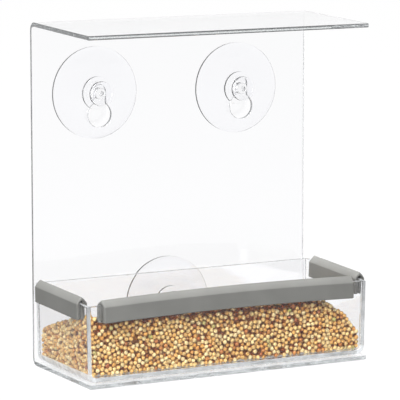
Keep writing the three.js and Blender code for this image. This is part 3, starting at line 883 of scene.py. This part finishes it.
class FEEDER_OT_perch_grips(bpy.types.Operator):
    """Makes the soft grips pushed over the tray's walls"""

    bl_idname = "feeder.make_perch_grips"
    bl_label = "Perch grips"

    def section(self, standoff):
        """The channel across the wall, with the origin at the middle of the wall's top edge."""
        g = grips()
        half = g.width / 2
        slit = sheets().thickness / 2 + g.wall_gap
        relief = g.relief / 2
        foot = standoff - g.height
        relief_centre = standoff - g.crown - relief
        relief_angle = math.acos(slit / relief)
        middle = foot + g.height / 2
        leg = ((slit, middle, 0), (slit, foot, g.foot_round), (half, foot, g.foot_round), (half, middle, 0))
        right_leg = rounded(leg, 3)[1:-1]
        # Points a little inside the outer side's ends keep that side shaded as flat.
        inside = 0.3 * MM
        flat_ends = (foot + g.foot_round + inside, standoff - g.dome - inside)
        right_leg += [Vector((half, height)) for height in flat_ends]
        left_leg = [Vector((-p.x, p.y)) for p in reversed(right_leg)]
        slit_top = arc((0, relief_centre), relief, math.pi + relief_angle, -relief_angle, 14)
        return right_leg + self.dome(standoff) + left_leg + slit_top

    def dome(self, standoff):
        """The arched top, from its right foot to its left, as a superellipse."""
        g = grips()
        power = 2 / g.dome_power
        steps = 20
        points = []
        for step in range(steps + 1):
            angle = math.pi * step / steps
            across = math.copysign(abs(math.cos(angle)) ** power, math.cos(angle)) * g.width / 2
            points.append(Vector((across, standoff - g.dome + g.dome * abs(math.sin(angle)) ** power)))
        return points

    def channel(self, length, standoff, bow, mitre, matrix):
        """A grip that runs along Y with softened ends, bowed up between them and moved by the matrix.

        The end at the larger Y is cut at the mitre angle, so that its left leg is the shorter one.
        """
        g = grips()
        section = wound(self.section(standoff), True)
        middle = standoff - g.height / 2
        soft = g.soft_edge
        end = g.end_round
        ends = [0, soft * 0.15, soft * 0.4, soft * 0.7, soft, (soft + end) / 2, end]
        body = [end + (length - 2 * end) * i / 32 for i in range(1, 32)]
        bm = bmesh.new()
        rings = []
        for station in ends + body + [length - d for d in reversed(ends)]:
            from_end = min(station, length - station)
            inset = soft - math.sqrt(max(0, soft**2 - max(0, soft - from_end) ** 2))
            drop = end - math.sqrt(max(0, end**2 - max(0, end - from_end) ** 2))
            squeeze = 1 - drop / (g.height / 2)
            rise = bow * (1 - (2 * station / length - 1) ** 2)
            shear = math.tan(mitre) * max(0, 1 - (length - station) / (2 * g.width))
            ring = []
            for p in moved_left(section, inset):
                along = station - length / 2 + shear * p.x
                place = Vector((p.x, along, middle + (p.y - middle) * squeeze + rise))
                ring.append(bm.verts.new(matrix @ place))
            rings.append(ring)
        for near, far in zip(rings, rings[1:]):
            bridge(bm, near, far)
        # Marks the end faces, which the material paints darker as shade.
        shaded_end = bm.faces.layers.float.new("shaded_end")
        for ring in (rings[0], rings[-1]):
            for face in bmesh.ops.triangulate(bm, faces=[bm.faces.new(ring)])["faces"]:
                face[shaded_end] = 1.0
        return bm

    def execute(self, context):
        s = sheets()
        g = grips()
        places = FeederPlaces()
        silicone = extruded_silicone()
        front_length = 2 * (places.tray_half - g.front_setback)
        front_top = places.tray_under + s.tray_front_height
        front_place = (
            Matrix.Translation((places.tray_centre_x, places.tray_front + s.thickness / 2, front_top))
            @ Matrix.Rotation(-g.front_tilt, 4, "Y")
            @ Matrix.Rotation(math.pi / 2, 4, "Z")
        )
        front = self.channel(front_length, g.front_standoff, g.front_bow, g.front_mitre, front_place)
        finish_piece("front_grip_channel", front, silicone, "front_grip", "front_perch_grip", 50)
        for side, name, setback, to_back, standoff, tilt in (
            (-1, "left", g.left_setback, g.left_to_back, g.left_standoff, g.left_tilt),
            (1, "right", g.right_setback, g.right_to_back, g.right_standoff, g.right_tilt),
        ):
            low_y = places.tray_front + setback
            high_y = places.tray_back - s.thickness - to_back
            y = (low_y + high_y) / 2
            z = places.rim_height(y)
            outside = places.tray_half + (z - places.tray_under) * math.tan(s.tray_lean)
            x = places.tray_centre_x + side * (outside - s.thickness / 2 / math.cos(s.tray_lean))
            lean = Matrix.Rotation(side * s.tray_lean, 4, "Y") @ Matrix.Rotation(tilt, 4, "X")
            grip = self.channel(high_y - low_y, standoff, 0, 0, Matrix.Translation((x, y, z)) @ lean)
            body = name + "_grip"
            finish_piece(body + "_channel", grip, silicone, body, name + "_perch_grip", 50)
        return {"FINISHED"}


class HeapRoom:
    """The room that the heap fills, bounded by the tray and by the heap's own top."""

    def __init__(self):
        s = sheets()
        self.places = FeederPlaces()
        self.front = self.places.tray_front + s.thickness
        self.back = self.places.tray_back - s.thickness
        self.half = self.places.tray_half
        self.middle = self.places.tray_centre_x

    def height(self, x, y):
        """Height of the heap's top over the tray's underside plane z = 0."""
        h = seeds()
        start = self.half * h.right_fall_start
        right = np.clip((x - self.middle - start) / (self.half - start), 0, 1)
        back = np.clip((y - self.places.tray_front) / (self.places.tray_back - self.places.tray_front), 0, 1)
        corner = np.clip((-x + self.middle - self.half + h.corner_width) / h.corner_width, 0, 1)
        over_floor = (h.crown - sheets().thickness) * (1 - h.right_fall * right**h.right_fall_power)
        over_floor = over_floor * (1 - h.back_fall * back**h.back_fall_power)
        # Lumps 7 to 13 mm apart, from two waves that cross.
        lumps = np.sin(x / (1.3 * MM) + 2 * np.sin(y / (2.1 * MM))) + np.sin(y / (1.1 * MM) + x / (3.7 * MM))
        in_corner = h.corner_rise * corner * np.clip(1 - 4 * back, 0, 1)
        return self.places.tray_floor + over_floor + in_corner + h.unevenness * lumps

    def sides(self, points):
        """For each bounding side, the depths of the points under it and its normal, which points inward."""
        s = sheets()
        x, y, z = points.T
        out = math.sin(s.tray_lean)
        upright = math.cos(s.tray_lean)
        up = z - self.places.tray_under
        step = 0.5 * MM
        top = self.height(x, y)
        slope_x = (self.height(x + step, y) - top) / step
        slope_y = (self.height(x, y + step) - top) / step
        steep = np.sqrt(1 + slope_x**2 + slope_y**2)
        walls = [
            (z - self.places.tray_floor, (0, 0, 1)),
            (y - self.front, (0, 1, 0)),
            (self.back - y, (0, -1, 0)),
            ((x - self.middle + self.half) * upright + up * out - s.thickness, (upright, 0, out)),
            ((self.middle + self.half - x) * upright + up * out - s.thickness, (-upright, 0, out)),
        ]
        flat = [(depth, np.tile(np.array(normal, float), (len(x), 1))) for depth, normal in walls]
        return flat + [((top - z) / steep, np.stack((slope_x / steep, slope_y / steep, -1 / steep), 1))]


class FEEDER_OT_millet(bpy.types.Operator):
    """Fills the tray with loose grains of millet, two layers deep round a shaded core"""

    bl_idname = "feeder.make_millet"
    bl_label = "Millet"

    def execute(self, context):
        rng = np.random.default_rng(seeds().seed)
        room = HeapRoom()
        places, radii = self.pack(room, rng)
        self.make_grains(room, places, radii, rng)
        self.make_core(room)
        return {"FINISHED"}

    def pack(self, room, rng):
        """Scatters grains through the outer band of the heap, then pushes them apart and off the walls."""
        h = seeds()
        tries, rounds, search_every = 120000, 90, 9
        low = np.array((room.middle - room.half - 2 * MM, room.front, room.places.tray_floor))
        high = np.array((room.middle + room.half + 2 * MM, room.back, h.crown + 8 * MM))
        scattered = rng.uniform(low, high, (tries, 3))
        depth = np.min([d for d, _ in room.sides(scattered)], axis=0)
        fits = scattered[(depth > 0) & (depth < h.shown_depth)]
        band = len(fits) / tries * np.prod(high - low)
        count = int(band * h.packing / (math.pi / 6 * h.grain**3))
        places = fits[:count].copy()
        radii = h.grain / 2 * (1 + h.grain_spread * rng.uniform(-1, 1, len(places)))
        for step in range(rounds):
            if step % search_every == 0:
                near, far = self.neighbours(places, 1.35 * h.grain)
            apart = places[far] - places[near]
            distance = np.linalg.norm(apart, axis=1) + 1e-9
            overlap = np.maximum(0, (radii[near] + radii[far]) * 0.985 - distance)
            push = apart * (0.5 * overlap / distance)[:, None]
            for axis in range(3):
                places[:, axis] += np.bincount(far, push[:, axis], len(places))
                places[:, axis] -= np.bincount(near, push[:, axis], len(places))
            self.keep_inside(room, places, radii)
        return places, radii

    def neighbours(self, places, reach):
        """Pairs of grains that lie nearer to each other than the reach."""
        tree = KDTree(len(places))
        for i, place in enumerate(places):
            tree.insert(place, i)
        tree.balance()
        pairs = [(i, j) for i, place in enumerate(places) for _, j, _ in tree.find_range(place, reach) if j > i]
        near, far = np.array(pairs).T
        return near, far

    def keep_inside(self, room, places, reach):
        """Moves grains out of the walls, and those that sank too deep back toward the nearest side."""
        for side in range(6):
            depth, inward = room.sides(places)[side]
            places += inward * np.maximum(0, reach - depth)[:, None]
        depths, inward = self.nearest_side(room, places)
        places -= inward * (0.5 * np.maximum(0, depths - seeds().shown_depth))[:, None]

    def nearest_side(self, room, places):
        """The depth of each place under the side nearest to it, and that side's normal."""
        depths, normals = (np.array(values) for values in zip(*room.sides(places)))
        return depths.min(0), normals[depths.argmin(0), np.arange(len(places))]

    def clear_of_grips(self, places, reach):
        """False for grains that would reach into the legs of the grips."""
        keep = np.ones(len(places), bool)
        for node in ("left_perch_grip", "front_perch_grip", "right_perch_grip"):
            low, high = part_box(node)
            keep &= ~np.all((places > np.array(low) - reach) & (places < np.array(high) + reach), axis=1)
        return keep

    def grain_shape(self):
        """A grain of unit radius: rings round its length, with one end more pointed. Points and faces."""
        sides = 6
        rings = ((-0.62, 0.78), (0.02, 1.0), (0.62, 0.72))
        points = [(0, 0, -1)]
        for ring, (along, radius) in enumerate(rings):
            for i in range(sides):
                angle = 2 * math.pi * (i + ring / 2) / sides
                points.append((radius * math.cos(angle), radius * math.sin(angle), along))
        points.append((0, 0, 1.04))
        last_ring = 1 + (len(rings) - 1) * sides
        faces = []
        for i in range(sides):
            j = (i + 1) % sides
            faces.append((0, 1 + j, 1 + i))
            for here in range(1, last_ring, sides):
                above = here + sides
                faces.append((here + i, here + j, above + i))
                faces.append((here + j, above + j, above + i))
            faces.append((last_ring + i, last_ring + j, len(points) - 1))
        return np.array(points), np.array(faces)

    def make_grains(self, room, places, radii, rng):
        """Turns each grain its own way, along the wall where it lies at one, and makes the meshes."""
        h = seeds()
        depths, nearest = self.nearest_side(room, places)
        along = rng.normal(size=places.shape)
        along -= nearest * (np.sum(along * nearest, 1) * (depths < h.grain) * 0.9)[:, None]
        along /= np.linalg.norm(along, axis=1)[:, None]
        across = np.cross(along, rng.normal(size=places.shape))
        across /= np.linalg.norm(across, axis=1)[:, None]
        third = np.cross(along, across)
        scales = radii[:, None] * np.array((1.07, 1.01, h.grain_length)) * rng.uniform(0.95, 1.05, (len(places), 3))
        frames = np.stack((across, third, along), 2) * scales[:, None, :]
        for side in range(6):
            depth, inward = room.sides(places)[side]
            reach = np.linalg.norm(np.einsum("nij,ni->nj", frames, inward), axis=1) + 0.03 * MM
            places += inward * np.maximum(0, reach - depth)[:, None]
        keep = self.clear_of_grips(places, radii.mean() * 1.1)
        places, frames = places[keep], frames[keep]
        tones = rng.random(len(places))
        shape, faces = self.grain_shape()
        millet = millet_hull()
        left = places[:, 0] < room.middle
        for name, part in (("millet_left", left), ("millet_right", ~left)):
            count = int(part.sum())
            points = (np.einsum("nij,vj->nvi", frames[part], shape) + places[part][:, None]).reshape(-1, 3)
            corners = faces[None] + np.arange(count)[:, None, None] * len(shape)
            mesh = bpy.data.meshes.new(name)
            mesh.from_pydata(points, [], corners.reshape(-1, 3))
            # grain_depth feeds the painted shade between the grains in the hull material.
            for attribute, values in (
                ("grain_depth", np.min([depth for depth, _ in room.sides(points)], axis=0)),
                ("grain_tone", np.repeat(tones[part], len(shape))),
                ("grain_tip", np.tile((shape[:, 2] + 1) / 2, count)),
            ):
                layer = mesh.attributes.new(attribute, "FLOAT", "POINT")
                layer.data.foreach_set("value", values.astype(np.float32))
            mesh.shade_smooth()
            show_piece(mesh, millet, "tray", "seed_fill")

    def make_core(self, room):
        """A closed lump under the loose grains, which are too many to show all."""
        s = sheets()
        columns, rows = 40, 14
        inset = seeds().shown_depth * 0.8
        floor = room.places.tray_floor + inset
        bm = bmesh.new()
        bottom, top = [], []
        for i in range(columns + 1):
            for j in range(rows + 1):
                x = room.middle + (room.half - s.thickness - inset) * (2 * i / columns - 1)
                y = room.front + inset + (room.back - room.front - 2 * inset) * j / rows
                height = float(room.height(np.array(x), np.array(y)))
                bottom.append(bm.verts.new((x, y, floor)))
                top.append(bm.verts.new((x, y, max(floor + MM, height - inset))))
        for i in range(columns):
            for j in range(rows):
                a = i * (rows + 1) + j
                cell = (a, a + rows + 1, a + rows + 2, a + 1)
                bm.faces.new([top[k] for k in cell])
                bm.faces.new([bottom[k] for k in reversed(cell)])
        border = [i * (rows + 1) for i in range(columns + 1)]
        border += [columns * (rows + 1) + j for j in range(1, rows + 1)]
        border += [i * (rows + 1) + rows for i in range(columns - 1, -1, -1)]
        border += [j for j in range(rows - 1, 0, -1)]
        bridge(bm, [bottom[k] for k in border], [top[k] for k in border])
        finish_piece("millet_core", bm, millet_depth(), "tray", "seed_fill", 40)


class FEEDER_OT_stage(bpy.types.Operator):
    """Sets up the white table, the soft light and the camera"""

    bl_idname = "feeder.make_stage"
    bl_label = "Stage"

    def execute(self, context):
        st = context.scene.feeder_stage
        self.make_floor(st)
        self.make_world(context.scene, st)
        self.make_lamp("key_softbox", st, st.key_power, st.key_height)
        self.make_lamp("fill_softbox", st, st.fill_power, st.fill_height)
        self.make_camera(context.scene, st)
        context.scene.view_settings.view_transform = "Standard"
        return {"FINISHED"}

    def make_floor(self, st):
        half = st.floor_size / 2
        below = 0.1 * MM
        mesh = bpy.data.meshes.new("studio_table")
        corners = [(x, y, -below) for x, y in ((-half, -half), (half, -half), (half, half), (-half, half))]
        mesh.from_pydata(corners, [], [(0, 1, 2, 3)])
        mesh.materials.append(studio_floor(st))
        floor = bpy.data.objects.new("studio_table", mesh)
        bpy.context.scene.collection.objects.link(floor)

    def make_world(self, scene, st):
        world = bpy.data.worlds.new("Studio room")
        world.use_nodes = True
        world.node_tree.nodes.clear()
        add = partial(add_node, world.node_tree)
        looked_at, mirrored = looked_at_and_mirrored(add)
        along = add("SeparateXYZ", {"Vector": add("TexCoord").outputs["Generated"]}).outputs["Y"]
        light = add("Background", {"Color": WHITE, "Strength": st.surround})
        image = add("Background", {"Color": WHITE, "Strength": front_to_back(add, along, -0.3, 0.3, st.front_tone)})
        backdrop = add("Background", {"Color": WHITE, "Strength": 1.0})
        in_mirrors = add("MixShader", {0: mirrored, 1: light, 2: image})
        add("OutputWorld", {"Surface": add("MixShader", {0: looked_at, 1: in_mirrors, 2: backdrop})})
        scene.world = world

    def make_lamp(self, name, st, power, height):
        data = bpy.data.lights.new(name, "AREA")
        data.energy = power
        data.size = st.lamp_size
        lamp = bpy.data.objects.new(name, data)
        flat = math.cos(height)
        toward = Vector((-flat * math.sin(st.lamp_side), -flat * math.cos(st.lamp_side), math.sin(height)))
        lamp.location = toward * st.lamp_distance + Vector((0, 0, sheets().shell_height / 2))
        lamp.rotation_euler = toward.to_track_quat("Z", "Y").to_euler()
        bpy.context.scene.collection.objects.link(lamp)

    def make_camera(self, scene, st):
        data = bpy.data.cameras.new("camera")
        data.lens = st.lens
        data.sensor_width = 36
        data.clip_end = 60
        camera = bpy.data.objects.new("camera", data)
        camera.location = st.camera_place
        camera.rotation_euler = (st.camera_pitch, 0, st.camera_yaw)
        scene.collection.objects.link(camera)
        scene.camera = camera


class FEEDER_PT_panel(bpy.types.Panel):
    """Lists the pieces of the feeder"""

    bl_idname = "FEEDER_PT_panel"
    bl_label = "Bird Feeder"
    bl_space_type = "VIEW_3D"
    bl_region_type = "UI"
    bl_category = "Bird Feeder"

    def draw(self, context):
        for operator in MAKERS:
            self.layout.operator(operator.bl_idname)


SETTINGS = {
    "feeder_sheets": FeederSheetSettings,
    "feeder_cups": FeederCupSettings,
    "feeder_grips": FeederGripSettings,
    "feeder_seeds": FeederSeedSettings,
    "feeder_stage": FeederStageSettings,
}

MAKERS = (
    FEEDER_OT_stage,
    FEEDER_OT_shell,
    FEEDER_OT_tray,
    FEEDER_OT_suction_cups,
    FEEDER_OT_perch_grips,
    FEEDER_OT_millet,
)


def register():
    for name, group in SETTINGS.items():
        bpy.utils.register_class(group)
        setattr(bpy.types.Scene, name, bpy.props.PointerProperty(type=group))
    for maker in MAKERS:
        bpy.utils.register_class(maker)
    bpy.utils.register_class(FEEDER_PT_panel)


def unregister():
    bpy.utils.unregister_class(FEEDER_PT_panel)
    for maker in reversed(MAKERS):
        bpy.utils.unregister_class(maker)
    for name, group in reversed(SETTINGS.items()):
        delattr(bpy.types.Scene, name)
        bpy.utils.unregister_class(group)


def main():
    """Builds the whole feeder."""
    register()
    for maker in MAKERS:
        group, name = maker.bl_idname.split(".")
        getattr(getattr(bpy.ops, group), name)()


if __name__ == "__main__":
    main()
